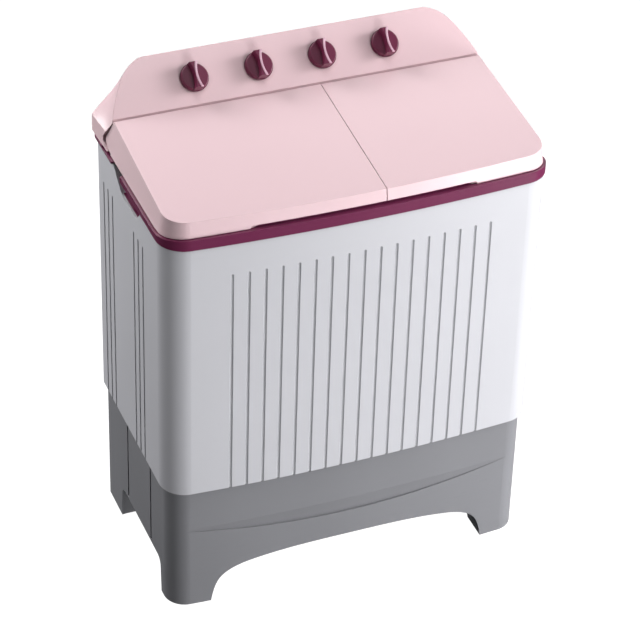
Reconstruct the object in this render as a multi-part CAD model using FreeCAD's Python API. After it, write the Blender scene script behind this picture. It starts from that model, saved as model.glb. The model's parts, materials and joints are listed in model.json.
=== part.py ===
import FreeCAD, Part
import math
import os

# Twin tub washer: wash tub on the left, spin tub on the right, one cabinet.
# Millimetres. Origin: centre of the footprint on the floor. +X right, +Y back, +Z up.

V = FreeCAD.Vector
UP = V(0, 0, 1)

# ---------------------------------------------------------------- driving dimensions
# cabinet and base
CAB_WIDTH = 740.0
CAB_DEPTH = 389.0          # corner to corner, without the bow of the front
FRONT_BOW = 16.0           # how far the front bulges forward at its middle
CAB_BOTTOM = 281.0
CAB_TOP = 831.0            # rim at the front and the sides
CAB_REAR_TOP = 839.0       # rim behind the hand-holds
CAB_WALL = 4.0
FRONT_RADIUS = 50.0
REAR_RADIUS = 15.0
BASE_INSET = 8.0
BASE_WALL = 4.0
BASE_DECK = 104.0          # underside of the motor deck
FOOT_PAD = 2.0             # rubber below the moulded legs

# styling grooves
GROOVE_RADIUS = 3.2
GROOVE_PROUD = 1.0         # groove centre line lies this far outside the wall
GROOVE_TOP = 766.0
FRONT_GROOVES = 17
FRONT_PITCH = 31.1
SIDE_PITCH = 25.0
SIDE_GROUPS = (126.0, -45.5)

# top frame, lids and console
RING_OVERHANG = 3.0
RING_FRONT_TOP = 853.0
RING_SIDE_TOP = 843.0
RING_REAR = 207.0
RIM_INSET = 9.0            # inner edge of the front band, in from the cabinet's outline
DECK_LOW = 838.0
DECK_HIGH = 841.0
LID_GAP = 0.8
LID_WALL = 3.0
LID_SPLIT = 40.0
LID_SLOPE = 0.096
LID_FRONT_TOP = 883.0      # lid plane at y = -200
HINGE_Y = 114.0
HINGE_R = 6.0
HINGE_Z = LID_FRONT_TOP + LID_SLOPE * (HINGE_Y + 200.0) - HINGE_R
SKIRT_REACH = 59.0         # lid skirt stays inside this radius behind the hinge
SEAM_Y = 150.0             # foot of the console where it meets the lid skirts
FACE_Y = 122.5             # lower edge of the control face
FACE_Z = 914.0
FACE_TILT = 42.0
CREST_Z = 985.0
CONSOLE_LOW = 846.0

# controls, along the control face
KNOB_PITCH = 125.0
KNOB_FIRST = -192.0
KNOB_UP = 50.0
KNOB_R = 27.0
BAR_TOP = 24.0             # height of the grip bar over the control face
BAR_WAIST = 4.6            # half thickness of the bar at its foot, in the middle
BAR_SCOOP_R = 62.0
STEM_R = 6.0

# tubs
WASH_X = -157.5
WASH_Y = -20.0
WASH_HALF_X = 183.5
WASH_FRONT = -186.0
WASH_BACK = 146.0
WASH_FLOOR = 420.0
TUB_WALL = 3.0
SPIN_X = 196.0
SPIN_Y = -20.0
SPIN_TUB_R = 145.0
SPIN_FLOOR = 400.0
BASKET_R = 131.0
BASKET_LOW = 424.0
BASKET_HIGH = 800.0

# drives
SHAFT_R = 6.0
RUN_CLEAR = 0.05           # radial clearance of a running shaft
FREE_CLEAR = 0.3           # clearance of parts that pass each other
PULLEY_Z = 345.0
PULLEY_H = 20.0
BIG_PITCH_R = 88.0
SMALL_PITCH_R = 22.0
BELT_W = 8.0
MOTOR_X = WASH_X + 140.0
BRACKET_Z = 330.0

# rear connections
HOSE_END = 213.5           # both hose spigots end level with the front of the bow
DRAIN_X = -25.0
DRAIN_Y = 102.0
REAR_Y = 165.0             # pipes and strap behind the tubs
OVERFLOW_X = -80.0
DRAIN_Z = 150.0
DRAIN_R = 16.0
PIPE_R = 14.5
INLET_X = -129.5
SPOUT_Y = 130.0
INLET_Z = 925.0
INLET_R = 10.0

FRONT_Y = -(CAB_DEPTH / 2 + FRONT_BOW)
HALF = CAB_WIDTH / 2
BOW_R = (HALF ** 2 + FRONT_BOW ** 2) / (2 * FRONT_BOW)
BIG = 1200.0

os.makedirs("parts", exist_ok=True)


# ---------------------------------------------------------------- helpers
def save(name, *shapes):
    """Write one node; several solids in one node stay separate."""
    shape = shapes[0] if len(shapes) == 1 else Part.makeCompound(list(shapes))
    solids = shape.Solids
    assert solids and all(s.isValid() for s in solids), name
    if len(solids) == 1:
        shape = solids[0]
    shape.exportStep("parts/" + name + ".step")
    print(name, len(solids), round(sum(s.Volume for s in solids) / 1000.0, 1), "cm3")


def box(x0, x1, y0, y1, z0, z1):
    return Part.makeBox(x1 - x0, y1 - y0, z1 - z0, V(x0, y0, z0))


def rod(r, x, y, z0, z1):
    return Part.makeCylinder(r, z1 - z0, V(x, y, z0))


def rod_x(r, x0, x1, y, z):
    return Part.makeCylinder(r, x1 - x0, V(x0, y, z), V(1, 0, 0))


def rod_y(r, x, y0, y1, z):
    return Part.makeCylinder(r, y1 - y0, V(x, y0, z), V(0, 1, 0))


def ring(r_out, r_in, x, y, z0, z1):
    return rod(r_out, x, y, z0, z1).cut(rod(r_in, x, y, z0 - 1, z1 + 1))


def fuse(shapes):
    whole = shapes[0]
    for extra in shapes[1:]:
        whole = whole.fuse(extra)
    return whole.removeSplitter()


def cut_all(shape, tools):
    for tool in tools:
        shape = shape.cut(tool)
    return shape


def mirror_x(shape):
    return shape.mirror(V(0, 0, 0), V(1, 0, 0))


def edges_along(shape, axis, test=lambda p: True):
    """Straight edges parallel to an axis whose middle passes the test."""
    found = []
    for edge in shape.Edges:
        if edge.Curve.TypeId != "Part::GeomLine":
            continue
        way = edge.tangentAt(edge.FirstParameter)
        middle = edge.valueAt((edge.FirstParameter + edge.LastParameter) / 2)
        if abs(abs(way.dot(axis)) - 1) < 1e-6 and test(middle):
            found.append(edge)
    return found


def round_box(x0, x1, y0, y1, z0, z1, r):
    body = box(x0, x1, y0, y1, z0, z1)
    return body.makeFillet(r, edges_along(body, UP))


def prism_x(points, x0, x1):
    """A (y, z) polygon extruded along X."""
    corners = [V(x0, y, z) for y, z in points]
    return Part.Face(Part.makePolygon(corners + corners[:1])).extrude(V(x1 - x0, 0, 0))


def bow_y(x, inset=0.0):
    """Y of the bowed front at x, moved inwards by inset."""
    r = BOW_R - inset
    return FRONT_Y + inset + r - math.sqrt(r * r - x * x)


def bowed_prism(inset, z0, z1, y_back=CAB_DEPTH / 2):
    """The cabinet's plan, moved inwards by inset: bowed front, rounded corners."""
    half = HALF - inset
    back = y_back - inset
    corner = bow_y(half, inset)
    a = V(-half, corner, z0)
    b = V(half, corner, z0)
    c = V(half, back, z0)
    d = V(-half, back, z0)
    front = Part.Arc(a, V(0, FRONT_Y + inset, z0), b).toShape()
    sides = [Part.LineSegment(p, q).toShape() for p, q in ((b, c), (c, d), (d, a))]
    body = Part.Face(Part.Wire([front] + sides)).extrude(V(0, 0, z1 - z0))
    body = body.makeFillet(FRONT_RADIUS - inset, edges_along(body, UP, lambda p: p.y < 0))
    rear_r = max(REAR_RADIUS - inset, 2.0)
    return body.makeFillet(rear_r, edges_along(body, UP, lambda p: p.y > 0))


def lid_plane(y):
    return LID_FRONT_TOP + LID_SLOPE * (y + 200.0)


def to_face(shape, x, up, out=0.0):
    """Place a shape made about the Z axis so that it stands on the control face."""
    tilt = math.radians(FACE_TILT)
    y = FACE_Y + up * math.cos(tilt) - out * math.sin(tilt)
    z = FACE_Z + up * math.sin(tilt) + out * math.cos(tilt)
    moved = shape.copy()
    moved.Placement = FreeCAD.Placement(V(x, y, z), FreeCAD.Rotation(V(1, 0, 0), FACE_TILT))
    return moved


def knob_x(index):
    return KNOB_FIRST + KNOB_PITCH * index


# ---------------------------------------------------------------- cabinet
COVER_T = 2.5
COVER_SCREWS = tuple((x, z) for x in (-326, 326) for z in (300, 550, 800))
RIM_STEP_Y = 46.0          # the front band and the low rim end here, at the hand-holds
SLOPE_TOP_Y = 96.0         # the dip has risen to the rear rim here
HOLD_DEPTH = 18.0
CUP_START = 4.0            # the frame's lining begins this far in from the cabinet's side


def hand_hold_profile(shrink=0.0):
    """(y, z) outline of the dip in the side rim, open upwards."""
    return [(-62 + shrink, CAB_TOP + 40), (-62 + shrink, CAB_TOP), (-38 + shrink, 804 + shrink),
            (44 - shrink, 804 + shrink), (95 - shrink, 842), (95 - shrink, CAB_TOP + 40)]


def hand_hold_cut(shrink, x0, x1):
    body = prism_x(hand_hold_profile(shrink), x0, x1)
    lower = edges_along(body, V(1, 0, 0), lambda p: p.z < CAB_TOP - 10)
    return body.makeFillet(22.0 - shrink, lower)


def groove(x, y):
    run_out = 2.6
    body = rod(GROOVE_RADIUS, x, y, CAB_BOTTOM - 5, GROOVE_TOP - run_out)
    tip = Part.makeCone(GROOVE_RADIUS, GROOVE_PROUD - 0.1, run_out, V(x, y, GROOVE_TOP - run_out))
    return body.fuse(tip)


def grooves():
    """Front and side grooves; all run out at the bottom edge."""
    tools = []
    for i in range(FRONT_GROOVES):
        x = (i - (FRONT_GROOVES - 1) / 2) * FRONT_PITCH
        tools.append(groove(x, bow_y(x) - GROOVE_PROUD))
    for centre in SIDE_GROUPS:
        for k in (-1, 0, 1):
            y = centre + k * SIDE_PITCH
            tools.append(groove(-HALF - GROOVE_PROUD, y))
            tools.append(groove(HALF + GROOVE_PROUD, y))
    return tools


def above_rim():
    """Everything above the cabinet's rim, which is higher behind the hand-holds."""
    return box(-BIG, BIG, -BIG, RIM_STEP_Y, CAB_TOP, BIG)


def cabinet_shell():
    shell = bowed_prism(0, CAB_BOTTOM, CAB_REAR_TOP)
    for tool in grooves():
        before = shell.Volume
        shell = shell.cut(tool)
        assert shell.Volume < before - 100, "groove"
    shell = shell.cut(bowed_prism(CAB_WALL, CAB_BOTTOM + 3, CAB_REAR_TOP + 1))
    shell = shell.cut(bowed_prism(BASE_INSET + 10, CAB_BOTTOM - 1, CAB_BOTTOM + 4))
    shell = shell.cut(above_rim())
    shell = shell.cut(rod(DRAIN_R + 3, DRAIN_X, REAR_Y, CAB_BOTTOM - 1, CAB_BOTTOM + 4))
    # rolled lips round the hand-holds
    lip_in = HALF - HOLD_DEPTH
    lip = hand_hold_cut(-4.0, -HALF + 1, -lip_in).cut(above_rim())
    lip = lip.cut(box(-BIG, BIG, -BIG, BIG, DECK_LOW, BIG))
    lip = lip.cut(box(-HALF + CUP_START, BIG, -BIG, RIM_STEP_Y, 0, BIG))
    shell = fuse([shell, lip, mirror_x(lip)])
    dip = hand_hold_cut(0.0, -HALF - 5, -lip_in + 1)
    shell = cut_all(shell, [dip, mirror_x(dip)])
    # window in the rear wall, behind the back cover, and its screw holes
    shell = shell.cut(box(-318, 318, CAB_DEPTH / 2 - 6, CAB_DEPTH / 2 + 1, 300, 800))
    for x, z in COVER_SCREWS:
        shell = shell.cut(rod_y(2.0, x, CAB_DEPTH / 2 - 10, CAB_DEPTH / 2 + 1, z))
    return shell


# ---------------------------------------------------------------- base
LEG_X = 280.0
LEG_FRONT = -135.0
LEG_REAR = 105.0
ARCH_TOP = 99.0
FOOT_POINTS = ((-318, -166), (318, -166), (-318, 146), (318, 146))


def leg_zone(x0, y_front, y_rear, z0, z1):
    """The four corner columns as one tool."""
    zones = []
    for y0, y1 in ((-BIG, y_front), (y_rear, BIG)):
        zones.append(box(x0, BIG, y0, y1, z0, z1))
        zones.append(box(-BIG, -x0, y0, y1, z0, z1))
    return Part.makeCompound(zones)


def front_arch():
    """Opening under the front and the rear, with swept-up ends."""
    half = [(LEG_X + 3, -5), (LEG_X - 4, 30), (264, 56), (238, 75), (195, 87), (110, 96.5)]
    left = [V(-x, -BIG, z) for x, z in half]
    right = [V(x, -BIG, z) for x, z in half[::-1]]
    points = left + [V(0, -BIG, ARCH_TOP)] + right
    curve = Part.BSplineCurve()
    curve.interpolate(points)
    floor_line = Part.LineSegment(points[-1], points[0]).toShape()
    return Part.Face(Part.Wire([curve.toShape(), floor_line])).extrude(V(0, 2 * BIG, 0))


def side_arch():
    body = prism_x([(LEG_FRONT, -5), (LEG_FRONT + 6, 78), (LEG_REAR - 6, 78), (LEG_REAR, -5)], -BIG, BIG)
    return body.makeFillet(18.0, edges_along(body, V(1, 0, 0), lambda p: p.z > 70))


def smile_cut():
    """A shallow scoop over a smile-shaped line across the front of the base."""
    low, high, depth = 150.0, 188.0, 4.4
    surface = BOW_R - BASE_INSET
    axis_y = FRONT_Y + BOW_R
    outer = Part.makeCylinder(surface + 40, high - low, V(0, axis_y, low))
    cone = Part.makeCone(surface - depth, surface, high - low, V(0, axis_y, low))
    scoop = outer.cut(cone).common(box(-330, 330, FRONT_Y - 30, FRONT_Y + 60, low, high))
    smile_r = 1900.0
    return scoop.common(rod_y(smile_r, -8, FRONT_Y - 40, FRONT_Y + 80, 156 + smile_r))


def base():
    inner = BASE_INSET + BASE_WALL
    body = bowed_prism(BASE_INSET, FOOT_PAD, CAB_BOTTOM)
    body = body.cut(bowed_prism(inner, BASE_DECK + 4, CAB_BOTTOM + 1))
    hollow = bowed_prism(inner, -1, BASE_DECK).cut(leg_zone(LEG_X, LEG_FRONT, LEG_REAR, -2, BIG))
    pockets = bowed_prism(inner, FOOT_PAD + 4, BASE_DECK + 5)
    pockets = pockets.common(leg_zone(LEG_X + 4, LEG_FRONT - 4, LEG_REAR + 4, 0, BIG))
    body = cut_all(body, [hollow, pockets, front_arch(), side_arch(), smile_cut()])
    for x, y in FOOT_POINTS:
        body = body.cut(rod(6, x, y, 0, 12))
    # vertical steps pressed into the side walls
    for y in (60.0, -75.0):
        step = box(-HALF, -HALF + BASE_INSET + 1.6, y - 3, y + 3, 84, 276)
        body = cut_all(body, [step, mirror_x(step)])
    # opening behind the drain spigot
    return body.cut(rod_y(DRAIN_R + 3, DRAIN_X, 150, 260, DRAIN_Z))


def rubber_feet():
    return [fuse([rod(16, x, y, 0, FOOT_PAD), rod(6, x, y, FOOT_PAD - 0.5, 9)]) for x, y in FOOT_POINTS]


# ---------------------------------------------------------------- back cover
def back_cover():
    y0 = CAB_DEPTH / 2
    cover = round_box(-336, 336, y0, y0 + COVER_T, 290, 812, 1.0)
    for row in range(12):
        for side in (-1, 1):
            z = 430 + row * 20
            slot = box(side * 170 - 85, side * 170 + 85, y0 - 1, y0 + 4, z, z + 5)
            cover = cover.cut(slot)
    for x, z in COVER_SCREWS:
        cover = cover.cut(rod_y(2.2, x, y0 - 1, y0 + 4, z))
    return cover.cut(rod_y(9, 250, y0 - 1, y0 + 4, 330))


def back_cover_screws():
    y = CAB_DEPTH / 2 + COVER_T
    screws = []
    for x, z in COVER_SCREWS:
        head = Part.makeSphere(5.2, V(x, y - 2.2, z)).common(box(-BIG, BIG, y, y + 5, 0, BIG))
        screws.append(fuse([head, rod_y(2.0, x, y - 11, y + 0.2, z)]))
    return screws


def cord_gland():
    y0 = CAB_DEPTH / 2
    body = fuse([rod_y(9, 250, y0 - 4, y0 + 8, 330), rod_y(12, 250, y0 + COVER_T, y0 + 6, 330),
                 rod_y(12, 250, y0 - 4, y0, 330)])
    return body.cut(rod_y(4, 250, y0 - 10, y0 + 12, 330))


# ---------------------------------------------------------------- top frame
EAR_W = 8.0
EAR_R = 4.0
PIN_R = 1.8
RIB_REACH = 12.0           # the lid is thick for this far in front of the hinge
WASH_EARS = (-322.0, 8.0)
SPIN_EARS = (72.0, 322.0)
COVER_AXIS_Y = 113.0
COVER_AXIS_Z = 849.0
COVER_EARS = (150.0, 242.0)


def ear(x, y, z, r, half_w, bore):
    post = box(x - half_w, x + half_w, y - r * 0.8, y + r * 0.8, DECK_HIGH - 1, z)
    body = fuse([rod_x(r, x - half_w, x + half_w, y, z), post])
    return body.cut(rod_x(bore, x - half_w - 1, x + half_w + 1, y, z))


def top_frame():
    """The outer band between cabinet and lids."""
    band = bowed_prism(-RING_OVERHANG, CAB_TOP, RING_FRONT_TOP, RING_REAR - RING_OVERHANG)
    # high across the front and low along the sides
    above = prism_x([(-204, RING_FRONT_TOP), (-130, RING_SIDE_TOP), (SEAM_Y, RING_SIDE_TOP),
                     (SEAM_Y, CONSOLE_LOW), (BIG, CONSOLE_LOW), (BIG, 900), (-204, 900)], -BIG, BIG)
    below = box(-BIG, BIG, SLOPE_TOP_Y, BIG, 0, CAB_REAR_TOP)
    beside = box(-BIG, BIG, RIM_STEP_Y, SLOPE_TOP_Y, 0, BIG)
    band = cut_all(band, [above, below, beside, bowed_prism(CAB_WALL, CAB_TOP - 1, RING_SIDE_TOP + 1),
                          bowed_prism(RIM_INSET, CAB_TOP - 1, BIG)])
    # rear apron, from the deck up to the raised band behind
    apron = bowed_prism(CAB_WALL, DECK_HIGH, CONSOLE_LOW).cut(bowed_prism(RIM_INSET, 0, BIG))
    return fuse([band, apron.common(box(-BIG, BIG, SEAM_Y, BIG, 0, BIG))])


def top_deck():
    """Plate inside the band: tub openings, hinge ears, front upstand, backs of the hand-holds."""
    upstand = bowed_prism(RIM_INSET, DECK_LOW, 862).cut(bowed_prism(RIM_INSET + 3, DECK_LOW - 1, BIG))
    upstand = upstand.common(box(-300, 300, -BIG, -150, 0, BIG))
    deck = bowed_prism(CAB_WALL, DECK_LOW, DECK_HIGH)
    # open above the rear slopes of the hand-holds
    slope = box(-HALF, -HALF + HOLD_DEPTH, RIM_STEP_Y, SLOPE_TOP_Y - 1, DECK_LOW - 1, BIG)
    deck = cut_all(deck, [slope, mirror_x(slope)])
    x0 = WASH_X - WASH_HALF_X + 10
    x1 = WASH_X + WASH_HALF_X - 12
    deck = deck.cut(round_box(x0, x1, WASH_FRONT + 10, 106, DECK_LOW - 1, DECK_HIGH + 1, 38))
    deck = deck.cut(rod(122, SPIN_X, SPIN_Y, DECK_LOW - 1, DECK_HIGH + 1))
    back = box(-HALF + HOLD_DEPTH, -HALF + HOLD_DEPTH + 2.5, -70, 102, 796, DECK_LOW + 1)
    cup = hand_hold_cut(-4.0, -HALF + CUP_START, -HALF + HOLD_DEPTH + 1)
    cup = cup.common(box(-BIG, BIG, -BIG, RIM_STEP_Y, 0, DECK_LOW + 1))
    back = back.fuse(cup).cut(hand_hold_cut(0.0, -HALF, -HALF + HOLD_DEPTH))
    back = back.cut(box(-HALF - 1, -HALF + HOLD_DEPTH, -BIG, BIG, DECK_LOW, BIG))
    ears = [ear(x, HINGE_Y, HINGE_Z, EAR_R, EAR_W / 2, PIN_R + RUN_CLEAR) for x in WASH_EARS + SPIN_EARS]
    small = [ear(x, COVER_AXIS_Y, COVER_AXIS_Z, 3.5, 3, 1.5 + RUN_CLEAR) for x in COVER_EARS]
    body = fuse([deck, upstand, back, mirror_x(back)] + ears + small)
    # passages for the water spout and the drain strap
    body = body.cut(rod(9, INLET_X, SPOUT_Y, DECK_LOW - 1, DECK_HIGH + 1))
    return body.cut(box(DRAIN_X - 9, DRAIN_X + 9, REAR_Y - 4, REAR_Y + 4, DECK_LOW - 1, DECK_HIGH + 1))


# ---------------------------------------------------------------- lids
def wire_of(body, z):
    """Outer wire of a prism's face at height z."""
    for face in body.Faces:
        box_ = face.BoundBox
        if abs(box_.ZMin - z) < 1e-6 and abs(box_.ZMax - z) < 1e-6:
            return face.OuterWire
    raise ValueError("no face")


def drafted(inset, z0, z1, draft):
    """The cabinet's plan, leaning inwards from z0 to z1."""
    low = wire_of(bowed_prism(inset, z0, z0 + 1), z0)
    high = wire_of(bowed_prism(inset + draft * (z1 - z0), z1, z1 + 1), z1)
    return Part.makeLoft([low, high], True, True)


LID_LOW = RING_SIDE_TOP + 2.0
LID_FRONT_LOW = RING_FRONT_TOP + LID_GAP
LID_DRAFT = 0.127


def lid_blank():
    """Both lids as one block before the split, with the hinge barrel."""
    profile = [(-240, LID_FRONT_LOW), (-204, LID_FRONT_LOW), (-130, LID_LOW), (SEAM_Y - 2, LID_LOW),
               (SEAM_Y - 2, 866), (HINGE_Y + HINGE_R, HINGE_Z), (HINGE_Y + 0.8, lid_plane(HINGE_Y + 0.8)),
               (-240, lid_plane(-240))]
    block = drafted(2.0, RING_SIDE_TOP, 933.0, LID_DRAFT)
    body = block.common(prism_x(profile, -BIG, BIG))
    reach = rod_x(SKIRT_REACH, -BIG, BIG, HINGE_Y, HINGE_Z)
    rear = box(-BIG, BIG, HINGE_Y, BIG, 0, HINGE_Z)
    body = body.cut(rear.cut(reach))
    return body.fuse(block.common(rod_x(HINGE_R, -BIG, BIG, HINGE_Y, HINGE_Z))).removeSplitter()


def lid_hollow(x0, x1):
    inner = drafted(2.0 + LID_WALL, RING_SIDE_TOP - 5, 933.0, LID_DRAFT)
    y1 = HINGE_Y - RIB_REACH
    rib_low = HINGE_Z - HINGE_R - 2.5
    room = prism_x([(-240, 830), (y1, 830), (y1, lid_plane(y1) - LID_WALL),
                    (-240, lid_plane(-240) - LID_WALL)], x0, x1)
    rear = box(x0, x1, y1 - 1, SEAM_Y + 20, 830, rib_low)
    return inner.common(room.fuse(rear))


def ear_slot(x):
    """Room in the barrel for a frame ear; the skin above it stays."""
    w = EAR_W / 2 + 0.6
    y0 = HINGE_Y - RIB_REACH + 2
    return box(x - w, x + w, y0, HINGE_Y + 40, HINGE_Z - 20, HINGE_Z + EAR_R + FREE_CLEAR)


def lid(x0, x1, ears):
    body = lid_blank().common(box(x0, x1, -BIG, BIG, 0, BIG))
    split_at_right = x1 < HALF
    wall = 2.6
    in0 = -BIG if split_at_right else x0 + wall
    in1 = x1 - wall if split_at_right else BIG
    body = body.cut(lid_hollow(in0, in1))
    # the skirt along the split is shallow
    s0 = x1 - wall - 1 if split_at_right else x0 - 1
    s1 = x1 + 1 if split_at_right else x0 + wall + 1
    body = body.cut(box(s0, s1, FRONT_Y + 6, HINGE_Y + 60, 0, 864))
    # finger recess along the front edge
    recess = round_slot(-215, 217, LID_FRONT_LOW - 20, LID_FRONT_LOW + 5.2)
    body = body.cut(recess)
    for x in ears:
        body = body.cut(ear_slot(x))
        body = body.cut(rod_x(PIN_R, x - 14, x + 14, HINGE_Y, HINGE_Z))
    return body


def round_slot(x0, x1, z0, z1):
    body = box(x0, x1, FRONT_Y - 20, FRONT_Y + 12, z0, z1)
    return body.makeFillet(4.5, edges_along(body, V(0, 1, 0), lambda p: p.z > z0 + 1))


def hinge_pins(ears):
    return [rod_x(PIN_R, x - 14, x + 14, HINGE_Y, HINGE_Z) for x in ears]


def spin_safety_cover():
    disc = rod(128, SPIN_X, SPIN_Y, 843, 846)
    rim = ring(128, 124, SPIN_X, SPIN_Y, 842, 849)
    strap = box(SPIN_X - 40, SPIN_X + 40, SPIN_Y + 118, COVER_AXIS_Y, 843, 846)
    barrel = rod_x(3.5, SPIN_X - 40, SPIN_X + 40, COVER_AXIS_Y, COVER_AXIS_Z)
    link = box(SPIN_X - 40, SPIN_X + 40, COVER_AXIS_Y - 3.4, COVER_AXIS_Y, 843, COVER_AXIS_Z)
    grip = round_box(SPIN_X - 30, SPIN_X + 30, SPIN_Y - 100, SPIN_Y - 92, 845, 858, 3)
    body = fuse([disc, rim, strap, barrel, link, grip])
    holes = []
    for count, radius in ((6, 30), (12, 60), (18, 90)):
        for k in range(count):
            a = 2 * math.pi * k / count + 0.13
            holes.append(rod(4, SPIN_X + radius * math.cos(a), SPIN_Y + radius * math.sin(a), 840, 850))
    pegs = rod_x(1.5, SPIN_X - 50, SPIN_X + 50, COVER_AXIS_Y, COVER_AXIS_Z)
    return body.cut(Part.makeCompound(holes)).fuse(pegs).removeSplitter()


# ---------------------------------------------------------------- console
def face_outline():
    """(x, z) half outline of the face plane, from the foot to the flat crest."""
    return [(367.5, 846), (365, 882), (359.5, 914), (340, 944.5), (312, 973), (278, CREST_Z)]


def rear_outline():
    """(x, z) half outline of the rear plane: the upper corner is drawn inwards."""
    return [(373, 846), (372.5, 880), (350, 905), (326, 931), (304, 963), (272, CREST_Z)]


def console_wire(half, depth_of):
    """Closed wire through a half outline and its mirror; depth_of gives Y from Z."""
    right = [V(x, depth_of(z), z) for x, z in half]
    left = [V(-x, depth_of(z), z) for x, z in half]
    curve_r = Part.BSplineCurve()
    curve_r.interpolate(right[1:])
    curve_l = Part.BSplineCurve()
    curve_l.interpolate(left[:0:-1])
    edges = [Part.LineSegment(right[0], right[1]).toShape(), curve_r.toShape(),
             Part.LineSegment(right[-1], left[-1]).toShape(), curve_l.toShape(),
             Part.LineSegment(left[1], left[0]).toShape(), Part.LineSegment(left[0], right[0]).toShape()]
    return Part.Wire(edges)


def console_profile(gap=0.0):
    """(y, z) section of the console, grown inwards by gap."""
    slope = math.tan(math.radians(FACE_TILT))
    crest_y = FACE_Y + (CREST_Z - FACE_Z) / slope
    drop = gap / math.cos(math.radians(FACE_TILT))
    return [(SEAM_Y + gap, CONSOLE_LOW - (1 if gap else 0)), (RING_REAR + (1 if gap else 0),
            CONSOLE_LOW - (1 if gap else 0)), (RING_REAR + (1 if gap else 0), CREST_Z - 6 - gap),
            (crest_y + 1.0, CREST_Z - gap), (crest_y - gap * 0.4, CREST_Z - gap * 1.05),
            (FACE_Y + gap * 1.6, FACE_Z + gap * 1.6 * slope - drop), (FACE_Y + gap * 1.6, FACE_Z - 3),
            (HINGE_Y + HINGE_R + 1.2 + gap, HINGE_Z - 0.6), (SEAM_Y + gap, 866)]


def console_block():
    slope = math.tan(math.radians(FACE_TILT))
    tilted = console_wire(face_outline(), lambda z: FACE_Y + (z - FACE_Z) / slope)
    upright = console_wire(rear_outline(), lambda z: RING_REAR)
    return Part.makeLoft([tilted, upright], True, True)


def console_housing():
    block = console_block()
    body = block.common(prism_x(console_profile(), -BIG, BIG))
    # cheeks that follow the swing of the lid skirts
    cheek = block.common(box(-BIG, BIG, HINGE_Y + 12, SEAM_Y, RING_SIDE_TOP, 866))
    cheek = cheek.cut(box(-HALF + 10, HALF - 10, -BIG, BIG, 0, BIG))
    cheek = cheek.cut(rod_x(SKIRT_REACH + 1.2, -BIG, BIG, HINGE_Y, HINGE_Z))
    body = body.fuse(cheek)
    body = body.cut(rod_x(HINGE_R + 0.8, -BIG, BIG, HINGE_Y, HINGE_Z))
    inside = prism_x(console_profile(3.0), -264, 264)
    low = prism_x(console_profile(3.0), -366, 366).common(box(-BIG, BIG, -BIG, RING_REAR - 3, 0, 880))
    middle = prism_x(console_profile(3.0), -318, 318).common(box(-BIG, BIG, -BIG, RING_REAR - 3, 0, 930))
    body = cut_all(body, [inside, low, middle])
    # the spout passes under the front wall
    body = body.cut(box(INLET_X - 30, INLET_X + 30, 140, 160, CONSOLE_LOW - 1, CONSOLE_LOW + 23))
    for i in range(4):
        body = body.cut(to_face(Part.makeCylinder(STEM_R + 1, 20, V(0, 0, -10)), knob_x(i), KNOB_UP))
    return body


CONSOLE_SCREWS = ((-240, 862), (0, 862), (240, 862))


def console_back_cover():
    """Closes the rear of the console, with a cup round the water inlet."""
    y0 = RING_REAR
    plate = round_box(-263.5, 263.5, y0 - 3, y0, CONSOLE_LOW, 975.5, 1.0)
    cup = rod_y(24, INLET_X, y0 - 20, y0, INLET_Z)
    body = fuse([plate, cup]).cut(rod_y(21.5, INLET_X, y0 - 17.5, y0 + 1, INLET_Z))
    body = body.cut(rod_y(INLET_R + 0.6, INLET_X, y0 - 25, y0, INLET_Z))
    for x, z in CONSOLE_SCREWS:
        body = body.cut(rod_y(2.2, x, y0 - 5, y0 + 2, z))
    return body


def console_screws():
    y = RING_REAR
    screws = []
    for x, z in CONSOLE_SCREWS:
        head = Part.makeSphere(5.2, V(x, y - 2.2, z)).common(box(-BIG, BIG, y, y + 5, 0, BIG))
        screws.append(fuse([head, rod_y(2.0, x, y - 6, y + 0.2, z)]))
    return screws


# ---------------------------------------------------------------- controls
def knob():
    """Round knob with a raised grip bar, waisted at its middle; made about the Z axis."""
    skirt = Part.makeCylinder(KNOB_R, 4.0, V(0, 0, 1.0))
    body = Part.makeCone(KNOB_R - 1.0, KNOB_R - 2.5, 5.0, V(0, 0, 5.0))
    body = body.makeFillet(1.6, [e for e in body.Edges if e.BoundBox.ZMin > 9.9])
    half = KNOB_R - 0.8
    bar = prism_x([(-half, 2), (half, 2), (half - 1.6, BAR_TOP), (2 - half, BAR_TOP)], -12, 12)
    bar = bar.common(Part.makeCylinder(half, BAR_TOP + 1, V(0, 0, 0)))
    for side in (-1, 1):
        centre = V(side * (BAR_SCOOP_R + BAR_WAIST), 0, 2)
        bar = bar.cut(Part.makeCone(BAR_SCOOP_R, BAR_SCOOP_R + 2.2, BAR_TOP, centre))
    bar = bar.makeFillet(1.2, [e for e in bar.Edges if e.BoundBox.ZMin > BAR_TOP - 0.1])
    return fuse([skirt, body, bar]).cut(Part.makeCylinder(3.0, 13, V(0, 0, 0)))


def control_shaft():
    return Part.makeCylinder(3.0, 30, V(0, 0, -17))


def timer_body():
    """Clockwork timer: gear case, mounting plate and terminals."""
    case = Part.makeBox(56, 46, 26, V(-28, -23, -31))
    case = case.makeFillet(4.0, edges_along(case, UP))
    plate = Part.makeBox(68, 30, 1.6, V(-34, -15, -5))
    neck = Part.makeCylinder(6.0, 4, V(0, 0, -5))
    tabs = [Part.makeBox(6, 0.8, 6, V(-18 + 15 * k, 0, -37)) for k in range(3)]
    body = fuse([case, plate, neck] + tabs)
    return body.cut(Part.makeCylinder(3.0 + RUN_CLEAR, 20, V(0, 0, -17.2)))


def selector_body():
    case = Part.makeBox(40, 34, 16, V(-20, -17, -20))
    plate = Part.makeBox(56, 22, 1.6, V(-28, -11, -5))
    neck = Part.makeCylinder(6.0, 4, V(0, 0, -5))
    body = fuse([case, plate, neck])
    return body.cut(Part.makeCylinder(3.0 + RUN_CLEAR, 20, V(0, 0, -17.2)))


# ---------------------------------------------------------------- wash tub and its drive
SHAFT_TOP = 446.0


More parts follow.
